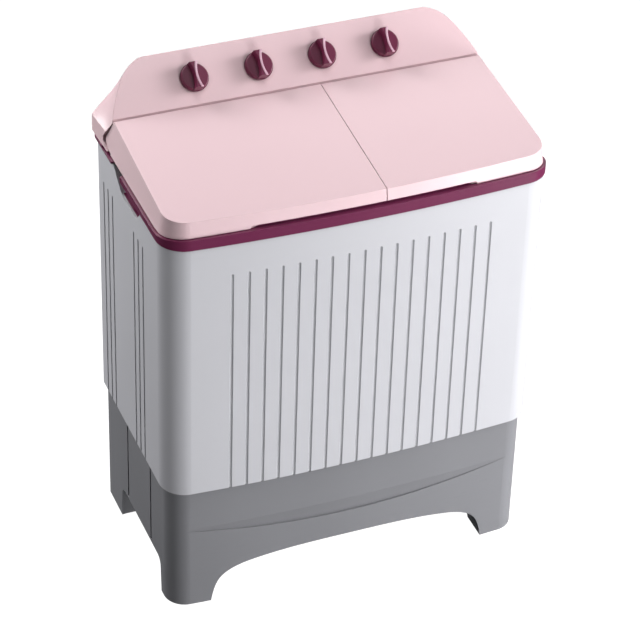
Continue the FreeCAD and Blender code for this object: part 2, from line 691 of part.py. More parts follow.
def wash_tub():
    x0 = WASH_X - WASH_HALF_X
    x1 = WASH_X + WASH_HALF_X
    tub = round_box(x0, x1, WASH_FRONT, WASH_BACK, WASH_FLOOR, DECK_LOW, 40)
    rim = round_box(x0 - 5, x1 + 5, WASH_FRONT - 3, WASH_BACK + 5, DECK_LOW - 4, DECK_LOW, 43)
    tub = fuse([tub, rim])
    tub = tub.cut(round_box(x0 + TUB_WALL, x1 - TUB_WALL, WASH_FRONT + TUB_WALL, WASH_BACK - TUB_WALL,
                            WASH_FLOOR + 4, DECK_LOW + 1, 37))
    tub = tub.cut(rod(9.0, WASH_X, WASH_Y, WASH_FLOOR - 1, WASH_FLOOR + 5))
    tub = tub.cut(rod(14.0, DRAIN_X, DRAIN_Y, WASH_FLOOR - 1, WASH_FLOOR + 5))
    tub = tub.cut(rod_y(9.0, OVERFLOW_X, WASH_BACK - 4, WASH_BACK + 1, 780))
    return tub.fuse(lint_filter_channel()).removeSplitter()


def pulsator():
    """Dished disc with four raised vanes."""
    disc = Part.makeCone(140, 136, 6, V(WASH_X, WASH_Y, 430))
    dome = Part.makeCone(60, 30, 14, V(WASH_X, WASH_Y, 436))
    hub = rod(16, WASH_X, WASH_Y, 428, 452)
    vanes = []
    for k in range(4):
        vane = prism_x([(20, 434), (132, 434), (126, 452), (26, 458)], -9, 9)
        vane = vane.makeFillet(5.0, [e for e in vane.Edges if e.BoundBox.ZMin > 451])
        vane = vane.rotate(V(0, 0, 0), UP, 90 * k)
        vanes.append(vane.translate(V(WASH_X, WASH_Y, 0)))
    body = fuse([disc, dome, hub] + vanes)
    holes = []
    for k in range(24):
        a = 2 * math.pi * (k + 0.5) / 24
        radius = 92 if k % 2 else 112
        holes.append(rod(3, WASH_X + radius * math.cos(a), WASH_Y + radius * math.sin(a), 425, 440))
    body = body.cut(Part.makeCompound(holes))
    body = body.cut(rod(SHAFT_R, WASH_X, WASH_Y, 420, SHAFT_TOP))
    return body.cut(rod(3, WASH_X, WASH_Y, 420, 460))


def pulsator_screw():
    x, y = WASH_X, WASH_Y
    head = Part.makeCone(7, 5, 4, V(x, y, 452))
    return fuse([head, rod(3, x, y, SHAFT_TOP - 14, 452)])


def wash_bearing_housing():
    x, y = WASH_X, WASH_Y
    body = fuse([rod(50, x, y, WASH_FLOOR - 6, WASH_FLOOR), rod(22, x, y, 378, WASH_FLOOR)])
    return body.cut(rod(SHAFT_R + RUN_CLEAR, x, y, 370, 430))


def wash_shaft_seal():
    return ring(9.0, SHAFT_R + 0.1, WASH_X, WASH_Y, WASH_FLOOR, WASH_FLOOR + 6)


def wash_shaft():
    return rod(SHAFT_R, WASH_X, WASH_Y, 340, SHAFT_TOP).cut(rod(3, WASH_X, WASH_Y, SHAFT_TOP - 14, 460))


def pulley(x, y, pitch_r, bore):
    z0, z1 = PULLEY_Z, PULLEY_Z + PULLEY_H
    mid = (z0 + z1) / 2
    body = rod(pitch_r + BELT_W / 2 + 1.5, x, y, z0, z1)
    root = pitch_r - BELT_W / 2 - FREE_CLEAR
    half = BELT_W / 2 + FREE_CLEAR
    body = body.cut(ring(pitch_r + 20, root, x, y, mid - half, mid + half))
    return body.cut(rod(bore, x, y, z0 - 1, z1 + 1))


def wash_pulley():
    x, y = WASH_X, WASH_Y
    body = pulley(x, y, BIG_PITCH_R, SHAFT_R)
    body = body.cut(ring(76, 18, x, y, PULLEY_Z - 1, PULLEY_Z + 7))
    body = body.cut(ring(76, 18, x, y, PULLEY_Z + 12, PULLEY_Z + PULLEY_H + 1))
    for k in range(6):
        a = math.pi * k / 3
        body = body.cut(rod(14, x + 48 * math.cos(a), y + 48 * math.sin(a), PULLEY_Z, PULLEY_Z + PULLEY_H))
    return body


def hull_of_circles(r_big, r_small, z0, z1):
    """Plan shape wrapped round both pulleys."""
    gap = MOTOR_X - WASH_X
    lean = math.asin((r_big - r_small) / gap)
    s, c = math.sin(lean), math.cos(lean)
    right = MOTOR_X + r_small * s
    left = WASH_X + r_big * s
    quad = [V(left, WASH_Y + r_big * c, z0), V(right, WASH_Y + r_small * c, z0),
            V(right, WASH_Y - r_small * c, z0), V(left, WASH_Y - r_big * c, z0)]
    middle = Part.Face(Part.makePolygon(quad + quad[:1])).extrude(V(0, 0, z1 - z0))
    return fuse([middle, rod(r_big, WASH_X, WASH_Y, z0, z1), rod(r_small, MOTOR_X, WASH_Y, z0, z1)])


def drive_belt():
    mid = PULLEY_Z + PULLEY_H / 2
    z0, z1 = mid - BELT_W / 2, mid + BELT_W / 2
    h = BELT_W / 2
    outer = hull_of_circles(BIG_PITCH_R + h, SMALL_PITCH_R + h, z0, z1)
    return outer.cut(hull_of_circles(BIG_PITCH_R - h, SMALL_PITCH_R - h, z0 - 1, z1 + 1))


def motor_case(x, y, r, z0, z1, bore):
    body = rod(r, x, y, z0, z1)
    body = body.makeFillet(6.0, [e for e in body.Edges if e.Curve.TypeId == "Part::GeomCircle"])
    body = body.cut(rod(r - 8, x, y, z0 + 8, z1 - 8))
    return body.cut(rod(bore, x, y, z0 - 1, z1 + 1))


WASH_MOTOR_LOW = 222.0
WASH_MOTOR_R = 56.0
ROTOR_GAP = 10.0


def wash_motor():
    return motor_case(MOTOR_X, WASH_Y, WASH_MOTOR_R, WASH_MOTOR_LOW, BRACKET_Z, 5 + RUN_CLEAR)


def wash_motor_rotor():
    x, y = MOTOR_X, WASH_Y
    core = rod(WASH_MOTOR_R - 8 - ROTOR_GAP, x, y, WASH_MOTOR_LOW + 20, BRACKET_Z - 20)
    return fuse([core, rod(5, x, y, WASH_MOTOR_LOW - 4, PULLEY_Z + PULLEY_H + 3)])


def motor_pulley():
    return pulley(MOTOR_X, WASH_Y, SMALL_PITCH_R, 5.0)


POSTS = tuple((WASH_X + dx, WASH_Y + dy) for dx in (-120, 120) for dy in (-86, 86))


def motor_bracket():
    """Pressed plate hung from the tub floor; it carries the wash motor."""
    plate = round_box(WASH_X - 134, MOTOR_X + 62, WASH_Y - 100, WASH_Y + 100, BRACKET_Z, BRACKET_Z + 4, 20)
    posts = [rod(9, x, y, BRACKET_Z, WASH_FLOOR) for x, y in POSTS]
    body = fuse([plate] + posts)
    body = body.cut(rod(12, MOTOR_X, WASH_Y, BRACKET_Z - 1, BRACKET_Z + 5))
    return body.cut(rod(30, WASH_X, WASH_Y, BRACKET_Z - 1, BRACKET_Z + 5))


# ---------------------------------------------------------------- spin tub and its drive
def spin_tub():
    x, y = SPIN_X, SPIN_Y
    tub = fuse([rod(SPIN_TUB_R, x, y, SPIN_FLOOR, DECK_LOW),
                rod(SPIN_TUB_R + 5, x, y, DECK_LOW - 4, DECK_LOW)])
    tub = tub.cut(rod(SPIN_TUB_R - TUB_WALL, x, y, SPIN_FLOOR + 4, DECK_LOW + 1))
    tub = tub.cut(rod(30, x, y, SPIN_FLOOR - 1, SPIN_FLOOR + 5))
    return tub.cut(rod(11, x + 60, y + 100, SPIN_FLOOR - 1, SPIN_FLOOR + 5))


def bellows_seal():
    """Rubber bellows round the spin shaft, between tub floor and shaft."""
    x, y = SPIN_X, SPIN_Y
    rings = [ring(34, 30, x, y, SPIN_FLOOR - 3, SPIN_FLOOR),
             ring(30, 26, x, y, SPIN_FLOOR - 3, SPIN_FLOOR + 7)]
    for k in range(3):
        rings.append(ring(28 - 6 * k, 20 - 6 * k, x, y, SPIN_FLOOR + 5 + 3 * k, SPIN_FLOOR + 9 + 3 * k))
    return fuse(rings)


def spin_basket():
    x, y = SPIN_X, SPIN_Y
    body = rod(BASKET_R, x, y, BASKET_LOW, BASKET_HIGH)
    body = body.makeFillet(10.0, [e for e in body.Edges if e.BoundBox.ZMax < BASKET_LOW + 1
                                  and e.Curve.TypeId == "Part::GeomCircle"])
    hollow = rod(BASKET_R - 2, x, y, BASKET_LOW + 4, BASKET_HIGH + 1)
    hollow = hollow.makeFillet(9.0, [e for e in hollow.Edges if e.BoundBox.ZMax < BASKET_LOW + 5
                                     and e.Curve.TypeId == "Part::GeomCircle"])
    body = body.cut(hollow)
    lip = ring(BASKET_R + 4, BASKET_R - 5, x, y, BASKET_HIGH - 6, BASKET_HIGH)
    cone = Part.makeCone(46, 22, 22, V(x, y, BASKET_LOW + 2))
    body = fuse([body, lip, cone])
    for row in range(7):
        holes = []
        for k in range(16):
            a = 2 * math.pi * (k + 0.5 * (row % 2)) / 16
            holes.append(Part.makeCylinder(4.0, 12, V(x + (BASKET_R - 7) * math.cos(a), y + (BASKET_R - 7)
                                           * math.sin(a), 465 + 48 * row), V(math.cos(a), math.sin(a), 0)))
        body = body.cut(Part.makeCompound(holes))
    floor_holes = [rod(4, x + 85 * math.cos(math.pi * k / 5), y + 85 * math.sin(math.pi * k / 5), 420, 430)
                   for k in range(10)]
    body = body.cut(Part.makeCompound(floor_holes))
    return body.cut(rod(SHAFT_R, x, y, BASKET_LOW - 5, BASKET_LOW + 20))


DRUM_LOW = 322.0
DRUM_HIGH = 346.0
DRUM_R = 55.0


def spin_shaft():
    return rod(SHAFT_R, SPIN_X, SPIN_Y, DRUM_LOW + 16, BASKET_LOW + 20)


def brake_drum():
    """Cup-shaped drum that couples the motor shaft to the basket shaft."""
    x, y = SPIN_X, SPIN_Y
    body = rod(DRUM_R, x, y, DRUM_LOW, DRUM_HIGH)
    body = body.cut(rod(DRUM_R - 5, x, y, DRUM_LOW - 1, DRUM_HIGH - 5))
    body = fuse([body, rod(16, x, y, DRUM_LOW, 364)])
    body = body.cut(rod(5, x, y, DRUM_LOW - 1, DRUM_LOW + 16))
    return body.cut(rod(SHAFT_R, x, y, DRUM_LOW + 16, 370))


SPIN_MOTOR_LOW = 176.0
SPIN_MOTOR_HIGH = 302.0
SPIN_MOTOR_R = 64.0


def spin_motor():
    x, y = SPIN_X, SPIN_Y
    body = motor_case(x, y, SPIN_MOTOR_R, SPIN_MOTOR_LOW, SPIN_MOTOR_HIGH, 5 + RUN_CLEAR)
    plate = rod(96, x, y, SPIN_MOTOR_LOW - 4, SPIN_MOTOR_LOW + 8).cut(rod(20, x, y, 100, 200))
    return fuse([body, plate, brake_post()]).cut(rod(5 + RUN_CLEAR, x, y, 100, 400))


def spin_motor_rotor():
    x, y = SPIN_X, SPIN_Y
    core = rod(SPIN_MOTOR_R - 8 - ROTOR_GAP, x, y, SPIN_MOTOR_LOW + 20, SPIN_MOTOR_HIGH - 20)
    return fuse([core, rod(5, x, y, SPIN_MOTOR_LOW - 8, DRUM_LOW + 16)])


SPRING_R = 80.0
CUP_FLOOR = 2.0


def spring_places():
    turns = [math.radians(90 + 120 * k) for k in range(3)]
    return [(SPIN_X + SPRING_R * math.cos(a), SPIN_Y + SPRING_R * math.sin(a)) for a in turns]


def motor_springs():
    """Three coil springs between the motor deck and the motor plate."""
    low = BASE_DECK + 4 + CUP_FLOOR
    high = SPIN_MOTOR_LOW - 4
    wire_r = 2.0
    coil_r = 12.0
    springs = []
    for x, y in spring_places():
        helix = Part.makeHelix((high - low - 2 * wire_r) / 5, high - low - 2 * wire_r, coil_r)
        section = Part.Wire(Part.makeCircle(wire_r, V(coil_r, 0, 0), V(0, 1, 0)))
        coil = Part.Wire(helix).makePipeShell([section], True, True)
        springs.append(coil.translate(V(x, y, low + wire_r)))
    return springs


def spring_cups():
    """Rubber cups under the springs, seated on the motor deck."""
    z = BASE_DECK + 4
    return [fuse([rod(18, x, y, z, z + CUP_FLOOR), ring(18, 14.6, x, y, z, z + 16),
                  rod(8.8, x, y, z, z + 34)])
            for x, y in spring_places()]


BRAKE_PIVOT = (SPIN_X - 78.0, SPIN_Y + 40.0)


def brake_post():
    x, y = BRAKE_PIVOT
    arm = box(x - 8, x + 40, y - 8, y + 8, SPIN_MOTOR_HIGH, SPIN_MOTOR_HIGH + 4)
    post = rod(4, x, y, SPIN_MOTOR_HIGH, DRUM_HIGH)
    return fuse([arm, post])


def brake_lever():
    """Lever with a lined shoe that closes on the drum."""
    px, py = BRAKE_PIVOT
    z0, z1 = DRUM_LOW + 3, DRUM_HIGH - 5
    hub = ring(9, 4 + RUN_CLEAR, px, py, z0, z1)
    shoe = ring(DRUM_R + 13, DRUM_R + 6, SPIN_X, SPIN_Y, z0, z1)
    shoe = shoe.common(box(SPIN_X - 90, SPIN_X - 20, SPIN_Y - 16, SPIN_Y + 34, z0, z1))
    arm = box(px - 3, px + 20, py - 26, py - 4, z0, z1)
    body = fuse([hub, shoe, arm.cut(rod(4 + RUN_CLEAR, px, py, z0 - 1, z1 + 1))])
    body = body.cut(rod(DRUM_R + 6, SPIN_X, SPIN_Y, z0 - 1, z1 + 1))
    tail = box(px - 40, px - 6, py - 4, py + 4, z0, z0 + 6)
    return fuse([body, tail])


# ---------------------------------------------------------------- water and drain
VALVE_SEAT = 378.0
SIDE_PIPE_Z = 300.0
SIDE_PIPE_R = 11.0
def drain_valve_body():
    """Sump cup under the tub floor, joined to a valve chamber behind the tub."""
    x = DRAIN_X
    low, high = 372.0, 440.0
    body = fuse([rod(20, x, DRAIN_Y, 388, WASH_FLOOR), rod_y(14, x, DRAIN_Y, REAR_Y, 402),
                 rod(18, x, REAR_Y, low, high)])
    body = body.cut(rod(14, x, DRAIN_Y, 391, WASH_FLOOR + 1))
    body = body.cut(rod_y(11, x, DRAIN_Y, REAR_Y, 402))
    body = body.cut(rod(15.5, x, REAR_Y, VALVE_SEAT, high - 3))
    body = body.cut(rod(12, x, REAR_Y, low - 1, VALVE_SEAT + 1))
    return body.cut(rod(3.4, x, REAR_Y, high - 5, high + 1))


def drain_valve_plunger():
    disc = rod(14, DRAIN_X, REAR_Y, VALVE_SEAT + 0.2, VALVE_SEAT + 6)
    return fuse([disc, rod(3, DRAIN_X, REAR_Y, VALVE_SEAT + 5, 470)])


def drain_valve_spring():
    coil_r = 8.0
    helix = Part.makeHelix(7.0, 45, coil_r)
    section = Part.Wire(Part.makeCircle(0.9, V(coil_r, 0, 0), V(0, 1, 0)))
    coil = Part.Wire(helix).makePipeShell([section], True, True)
    return coil.translate(V(DRAIN_X, REAR_Y, VALVE_SEAT + 8))


def drain_pull_rod():
    """Flat strap from the plunger up behind the tub to the selector."""
    y0, y1 = REAR_Y - 1, REAR_Y + 1
    end = knob_x(2)
    foot = rod(6, DRAIN_X, REAR_Y, 470, 476)
    strap = box(DRAIN_X - 6, DRAIN_X + 6, y0, y1, 470, 895)
    arm = box(DRAIN_X - 6, end + 6, y0, y1, 885, 895)
    hook = box(end - 6, end + 6, y0, y1, 885, 903)
    return fuse([foot, strap, arm, hook])


def drain_pipe():
    """From the valve down and out through the rear; its end is the hose spigot."""
    x, y, z = DRAIN_X, REAR_Y, DRAIN_Z
    shoulder = CAB_DEPTH / 2 - BASE_INSET + 3
    r_in = PIPE_R - 3
    outside = [rod(PIPE_R, x, y, z, 372), rod_y(PIPE_R, x, y, shoulder, z),
               Part.makeSphere(PIPE_R, V(x, y, z)), rod_y(DRAIN_R + 2, x, shoulder - 3, shoulder, z),
               rod_y(DRAIN_R, x, shoulder, HOSE_END, z)]
    inside = [rod(r_in, x, y, z, 373), rod_y(r_in, x, y, HOSE_END + 1, z), Part.makeSphere(r_in, V(x, y, z))]
    return fuse(outside).cut(fuse(inside))


def side_pipe(r, reach):
    """Path of the spin tub's drain, as a solid of radius r, longer at its open ends by reach."""
    x, y, z = SPIN_X + 60, SPIN_Y + 100, SIDE_PIPE_Z
    corners = [Part.makeSphere(r, V(x, y, z)), Part.makeSphere(r, V(x, REAR_Y, z))]
    return fuse([rod(r, x, y, z, SPIN_FLOOR + reach), rod_y(r, x, y, REAR_Y, z),
                 rod_x(r, DRAIN_X, x, REAR_Y, z)] + corners)


def spin_drain_pipe():
    """From the spin tub floor across the rear to the drain pipe."""
    body = side_pipe(SIDE_PIPE_R, 0).cut(side_pipe(SIDE_PIPE_R - 2.5, 1))
    return body.cut(rod(PIPE_R, DRAIN_X, REAR_Y, SIDE_PIPE_Z - 30, SIDE_PIPE_Z + 30))


def overflow_path(r, reach):
    """From high in the wash tub's rear wall down and across to the drain pipe."""
    x, top, low = OVERFLOW_X, 780.0, SIDE_PIPE_Z
    return fuse([rod_y(r, x, WASH_BACK - 3 - reach, REAR_Y, top), Part.makeSphere(r, V(x, REAR_Y, top)),
                 rod(r, x, REAR_Y, low, top), Part.makeSphere(r, V(x, REAR_Y, low)),
                 rod_x(r, x, DRAIN_X, REAR_Y, low)])


def overflow_pipe():
    body = overflow_path(9.0, 0).cut(overflow_path(7.0, 1))
    return body.cut(rod(PIPE_R, DRAIN_X, REAR_Y, SIDE_PIPE_Z - 30, SIDE_PIPE_Z + 30))


FILTER_LOW = 506.0
FILTER_HIGH = 616.0


def lint_filter_channel():
    """Open-topped pocket on the tub's rear wall that the filter drops into."""
    y1 = WASH_BACK - TUB_WALL
    low, high = FILTER_LOW - 6, FILTER_HIGH + 4
    body = box(-205, -110, y1 - 24, y1, low, high).cut(box(-200, -115, y1 - 20, y1 - 3, low + 5, high + 1))
    return body.cut(box(-192, -123, y1 - 30, y1 - 10, low + 20, high + 1))


def lint_filter():
    """Flat cartridge with a barred front."""
    y1 = WASH_BACK - TUB_WALL
    body = box(-199.4, -115.6, y1 - 19.4, y1 - 3.6, FILTER_LOW, FILTER_HIGH)
    body = body.cut(box(-190, -125, y1 - 16, y1 - 6, FILTER_LOW + 6, FILTER_HIGH - 6))
    for row in range(4):
        for col in range(4):
            x = -187 + 16 * col
            z = FILTER_LOW + 14 + 22 * row
            body = body.cut(box(x, x + 12, y1 - 21, y1 - 15, z, z + 17))
    return body


def water_inlet():
    """Inlet spigot with its elbow inside the console."""
    y0 = RING_REAR
    neck = rod_y(INLET_R + 0.6, INLET_X, y0 - 26, y0 - 17, INLET_Z)
    spigot = rod_y(INLET_R, INLET_X, y0 - 17, HOSE_END, INLET_Z)
    collar = rod_y(14, INLET_X, y0 - 24, y0 - 20, INLET_Z)
    drop = rod(8, INLET_X, y0 - 30, 872, INLET_Z)
    joint = Part.makeSphere(INLET_R, V(INLET_X, y0 - 28, INLET_Z))
    body = fuse([neck, spigot, collar, drop, joint])
    return cut_all(body, [rod_y(INLET_R - 2.5, INLET_X, y0 - 28, HOSE_END + 1, INLET_Z),
                          rod(5.5, INLET_X, y0 - 30, 871, INLET_Z)])


def water_spout():
    """Covered trough from under the inlet to a hole above the wash tub."""
    x0, x1 = INLET_X - 28, INLET_X + 28
    z0 = DECK_HIGH
    body = box(x0, x1, SPOUT_Y - 14, 184, z0, z0 + 24)
    body = body.cut(box(x0 + 2.5, x1 - 2.5, SPOUT_Y - 11.5, 181.5, z0 + 2.5, z0 + 21.5))
    body = body.cut(box(x0 + 2.5, x1 - 2.5, 160, 181.5, z0 + 10, z0 + 30))
    return body.cut(rod(8, INLET_X, SPOUT_Y, z0 - 1, z0 + 10))


def capacitor():
    return [rod(20, 60, 110, BASE_DECK + 4, BASE_DECK + 84), rod(16, 60, 60, BASE_DECK + 4, BASE_DECK + 70)]


# ---------------------------------------------------------------- the pieces
def main():
    save("cabinet_shell", cabinet_shell())
    save("base", base())
    save("rubber_feet", *rubber_feet())
    save("back_cover", back_cover())
    save("cord_gland", cord_gland())
    save("top_frame", top_frame())
    save("top_deck", top_deck())
    save("wash_lid", lid(-BIG, LID_SPLIT - 0.75, WASH_EARS))
    save("wash_lid_hinge_pins", *hinge_pins(WASH_EARS))
    save("spin_lid", lid(LID_SPLIT + 0.75, BIG, SPIN_EARS))
    save("spin_lid_hinge_pins", *hinge_pins(SPIN_EARS))
    save("spin_safety_cover", spin_safety_cover())
    save("console_housing", console_housing())
    save("console_back_cover", console_back_cover())
    save("casing_screws", *back_cover_screws(), *console_screws())
    controls = ("wash_timer", "course_selector", "drain_selector", "spin_timer")
    for i, name in enumerate(controls):
        x = knob_x(i)
        body = timer_body() if "timer" in name else selector_body()
        save(name, to_face(body, x, KNOB_UP))
        save(name + "_shaft", to_face(control_shaft(), x, KNOB_UP))
        save(name + "_knob", to_face(knob(), x, KNOB_UP))
    save("wash_tub", wash_tub())
    save("pulsator", pulsator())
    save("pulsator_screw", pulsator_screw())
    save("wash_shaft", wash_shaft())
    save("wash_bearing_housing", wash_bearing_housing())
    save("wash_shaft_seal", wash_shaft_seal())
    save("wash_pulley", wash_pulley())
    save("drive_belt", drive_belt())
    save("wash_motor", wash_motor())
    save("wash_motor_rotor", wash_motor_rotor())
    save("motor_pulley", motor_pulley())
    save("motor_bracket", motor_bracket())
    save("lint_filter", lint_filter())
    save("spin_tub", spin_tub())
    save("spin_basket", spin_basket())
    save("spin_shaft", spin_shaft())
    save("bellows_seal", bellows_seal())
    save("brake_drum", brake_drum())
    save("brake_lever", brake_lever())
    save("spin_motor", spin_motor())
    save("spin_motor_rotor", spin_motor_rotor())
    save("motor_springs", *motor_springs())
    save("spring_cups", *spring_cups())
    save("drain_valve_body", drain_valve_body())
    save("drain_valve_plunger", drain_valve_plunger())
    save("drain_valve_spring", drain_valve_spring())
    save("drain_pull_rod", drain_pull_rod())
    save("drain_pipe", drain_pipe())
    save("spin_drain_pipe", spin_drain_pipe())
    save("overflow_pipe", overflow_pipe())
    save("water_inlet", water_inlet())
    save("water_spout", water_spout())
    save("capacitors", *capacitor())


main()
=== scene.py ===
import json
import math

import bpy
from mathutils import Matrix, Vector


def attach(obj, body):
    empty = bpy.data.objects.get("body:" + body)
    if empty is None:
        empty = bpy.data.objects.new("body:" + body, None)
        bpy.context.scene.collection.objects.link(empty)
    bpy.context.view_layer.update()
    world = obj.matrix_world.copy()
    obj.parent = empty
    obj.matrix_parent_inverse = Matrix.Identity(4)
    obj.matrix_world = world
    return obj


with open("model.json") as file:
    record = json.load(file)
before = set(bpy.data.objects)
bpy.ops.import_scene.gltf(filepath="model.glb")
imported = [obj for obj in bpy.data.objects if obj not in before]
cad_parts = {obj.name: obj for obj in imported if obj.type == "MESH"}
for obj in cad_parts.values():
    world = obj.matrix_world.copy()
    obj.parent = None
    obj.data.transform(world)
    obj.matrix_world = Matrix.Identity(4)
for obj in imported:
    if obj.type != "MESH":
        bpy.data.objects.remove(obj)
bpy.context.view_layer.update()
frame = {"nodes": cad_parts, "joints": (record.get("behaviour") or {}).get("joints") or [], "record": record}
nodes = frame["nodes"]
joints = {j["name"]: j for j in frame["joints"]}
slot_of = {p["node"]: p["material_slot"] for p in frame["record"]["subparts"]}
scene = bpy.context.scene


def srgb(r, g, b):
    """Linear colour from 8 bit display values."""
    def one(c):
        c /= 255.0
        return c / 12.92 if c <= 0.04045 else ((c + 0.055) / 1.055) ** 2.4
    return (one(r), one(g), one(b), 1.0)


def tinted(colour, k):
    """The colour, k times as bright, clamped."""
    return tuple(min(1.0, c * k) for c in colour[:3]) + (1.0,)


# ---------------------------------------------------------------- materials
# painted shade: these set how ambient occlusion darkens grooves, seams and gaps
CREVICE_REACH = 0.009      # metres over which a surface looks for its neighbours
CREVICE_DEEP = 0.55        # share of open sky at which a crevice is darkest
CREVICE_OPEN = 0.97        # and at which it ends
CREVICE_SHADE_TONE = 0.36        # brightness of the painted shade at its darkest, where the crevice shade strength is 1


class Shader:
    """A material with a Principled BSDF and a few helpers to wire textures into it."""

    def __init__(self, name):
        self.mat = bpy.data.materials.new(name)
        self.mat.use_nodes = True
        self.tree = self.mat.node_tree
        self.bsdf = next(n for n in self.tree.nodes if n.type == "BSDF_PRINCIPLED")
        self.coord = self.node("ShaderNodeTexCoord").outputs["Object"]

    def node(self, kind, **values):
        n = self.tree.nodes.new(kind)
        for key, value in values.items():
            setattr(n, key, value)
        return n

    def link(self, a, b):
        self.tree.links.new(a, b)
        return self

    def set(self, **values):
        names = {"rough": "Roughness", "metal": "Metallic", "spec": "Specular IOR Level",
                 "coat": "Coat Weight", "coat_rough": "Coat Roughness"}
        for key, value in values.items():
            self.bsdf.inputs[names[key]].default_value = value
        return self

    def stretched(self, sx, sy, sz):
        m = self.node("ShaderNodeMapping")
        m.inputs["Scale"].default_value = (sx, sy, sz)
        self.link(self.coord, m.inputs["Vector"])
        return m.outputs["Vector"]

    def noise(self, scale, detail=3.0, rough=0.55, at=None):
        n = self.node("ShaderNodeTexNoise")
        n.inputs["Scale"].default_value = scale
        n.inputs["Detail"].default_value = detail
        n.inputs["Roughness"].default_value = rough
        self.link(at or self.coord, n.inputs["Vector"])
        return n.outputs["Fac"]

    def cells(self, scale):
        n = self.node("ShaderNodeTexVoronoi")
        n.inputs["Scale"].default_value = scale
        self.link(self.coord, n.inputs["Vector"])
        return n.outputs["Distance"]

    def ramp(self, fac, low, high, a=0.0, b=1.0):
        """Maps fac from low..high onto a..b, clamped."""
        n = self.node("ShaderNodeMapRange")
        n.inputs["From Min"].default_value = low
        n.inputs["From Max"].default_value = high
        n.inputs["To Min"].default_value = a
        n.inputs["To Max"].default_value = b
        self.link(fac, n.inputs["Value"])
        return n.outputs["Result"]

    def math(self, op, a, b):
        n = self.node("ShaderNodeMath", operation=op)
        for i, v in enumerate((a, b)):
            if isinstance(v, (int, float)):
                n.inputs[i].default_value = v
            else:
                self.link(v, n.inputs[i])
        return n.outputs[0]

    def mix(self, fac, colour_a, colour_b):
        n = self.node("ShaderNodeMix", data_type="RGBA")
        self.link(fac, n.inputs[0])
        for socket, c in ((n.inputs[6], colour_a), (n.inputs[7], colour_b)):
            if isinstance(c, tuple):
                socket.default_value = c
            else:
                self.link(c, socket)
        return n.outputs[2]

    def crevice_shade_mask(self):
        """Mask of painted shade: 0 in the open, towards 1 in grooves and seams narrower than CREVICE_REACH.
        """
        n = self.node("ShaderNodeAmbientOcclusion", samples=6)
        n.inputs["Distance"].default_value = CREVICE_REACH
        return self.ramp(n.outputs["AO"], CREVICE_DEEP, CREVICE_OPEN, 1.0, 0.0)

    def colour(self, output):
        return self.link(output, self.bsdf.inputs["Base Color"])

    def rough(self, output):
        return self.link(output, self.bsdf.inputs["Roughness"])

    def bump(self, heights, edge=0.0):
        """heights: list of (output, strength, distance); edge: radius that softens sharp edges."""
        normal = None
        if edge:
            b = self.node("ShaderNodeBevel", samples=6)
            b.inputs["Radius"].default_value = edge
            normal = b.outputs["Normal"]
        for output, strength, distance in heights:
            n = self.node("ShaderNodeBump")
            n.inputs["Strength"].default_value = strength
            n.inputs["Distance"].default_value = distance
            self.link(output, n.inputs["Height"])
            if normal is not None:
                self.link(normal, n.inputs["Normal"])
            normal = n.outputs["Normal"]
        return self.link(normal, self.bsdf.inputs["Normal"])


def moulded(name, colour, rough, grain=0.02, peel=0.0, edge=0.0006, vary=0.035, crevice_shade=0.25):
    """Injection-moulded plastic: cloudy tone, fine grain, uneven gloss, scuffs, painted shade in crevices.
    """
    s = Shader(name).set(spec=0.5)
    cloud = s.noise(4.0, 3.0, 0.45)
    fine = s.noise(700.0, 2.0)
    body = s.mix(s.ramp(cloud, 0.25, 0.75), tinted(colour, 1 - vary), tinted(colour, 1 + vary * 0.6))
    body = s.mix(s.ramp(fine, 0.35, 0.75, 0.0, 0.2), body, tinted(colour, 1 - 2 * vary))
    hair = s.ramp(s.noise(26.0, 2.0, 0.4, s.stretched(1.0, 0.12, 6.0)), 0.66, 0.74, 0.0, 0.35)
    body = s.mix(hair, body, tinted(colour, 1 - vary))
    # painted shade: grooves and seams darkened towards a dim copy of the colour
    s.colour(s.mix(s.math("MULTIPLY", s.crevice_shade_mask(), crevice_shade), body, tinted(colour, CREVICE_SHADE_TONE)))
    sheen = s.ramp(s.noise(9.0, 2.0, 0.4), 0.25, 0.75, rough - 0.02, rough + 0.03)
    s.rough(s.math("ADD", sheen, s.math("MULTIPLY", hair, 0.12)))
    heights = []
    if peel:
        heights.append((s.noise(170.0, 2.0), peel, 0.0004))
    if grain:
        heights.append((s.cells(1400.0), grain, 0.0002))
    s.bump(heights, edge)
    return s.mat


def metal(name, colour, rough, streak=(1.0, 1.0, 40.0), edge=0.0003, dull=0.15):
    """Worked metal: stretched tool marks in colour and gloss, faint tarnish."""
    s = Shader(name).set(metal=1.0)
    marks = s.noise(60.0, 5.0, 0.65, s.stretched(*streak))
    tarnish = s.noise(9.0, 4.0)
    base = s.mix(s.ramp(marks, 0.3, 0.7), tinted(colour, 0.82), tinted(colour, 1.08))
    s.colour(s.mix(s.ramp(tarnish, 0.45, 0.75, 0.0, 0.5), base, tinted(colour, 1 - 2 * dull)))
    s.rough(s.ramp(marks, 0.25, 0.75, rough - 0.08, rough + 0.1))
    s.bump([(marks, 0.08, 0.0003)], edge)
    return s.mat


def rubber(name, colour, rough=0.75):
    """Black rubber with a faint grey bloom."""
    s = Shader(name).set(spec=0.35)
    bloom = s.noise(30.0, 5.0)
    s.colour(s.mix(s.ramp(bloom, 0.4, 0.75), colour, tinted(colour, 2.2)))
    s.rough(s.ramp(bloom, 0.3, 0.8, rough - 0.1, rough + 0.12))
    s.bump([(s.noise(700.0, 2.0), 0.12, 0.0003)], 0.0004)
    return s.mat


